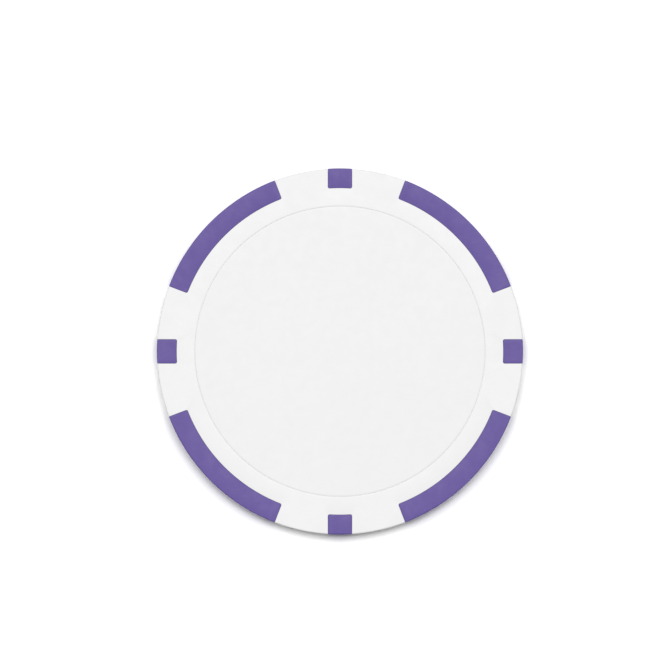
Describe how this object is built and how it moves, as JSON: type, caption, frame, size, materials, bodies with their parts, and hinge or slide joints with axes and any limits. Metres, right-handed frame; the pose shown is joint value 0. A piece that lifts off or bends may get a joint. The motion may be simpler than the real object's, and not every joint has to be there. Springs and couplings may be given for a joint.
{
  "type": "poker chip",
  "caption": "Round white poker chip with purple edge inserts, a recessed blank label on each face and a steel weight slug inside.",
  "frame": {"origin": "centre of the back face, which the chip rests on", "axes": "+Z is the chip's axis, from the back face to the front face; +Y is the top of the front face; the short inserts lie on X and Y"},
  "size_m": [0.039, 0.039, 0.0033],
  "materials": {
    "body": "satin",
    "insert": "satin",
    "label": "satin",
    "slug": "satin"
  },
  "bodies": {
    "root": {"front_shell": "body", "back_shell": "body", "weight_slug": "slug", "front_label": "label", "back_label": "label", "short_insert_east": "insert", "short_insert_north": "insert", "short_insert_west": "insert", "short_insert_south": "insert", "long_insert_north_east": "insert", "long_insert_north_west": "insert", "long_insert_south_west": "insert", "long_insert_south_east": "insert"}
  },
  "joints": []
}
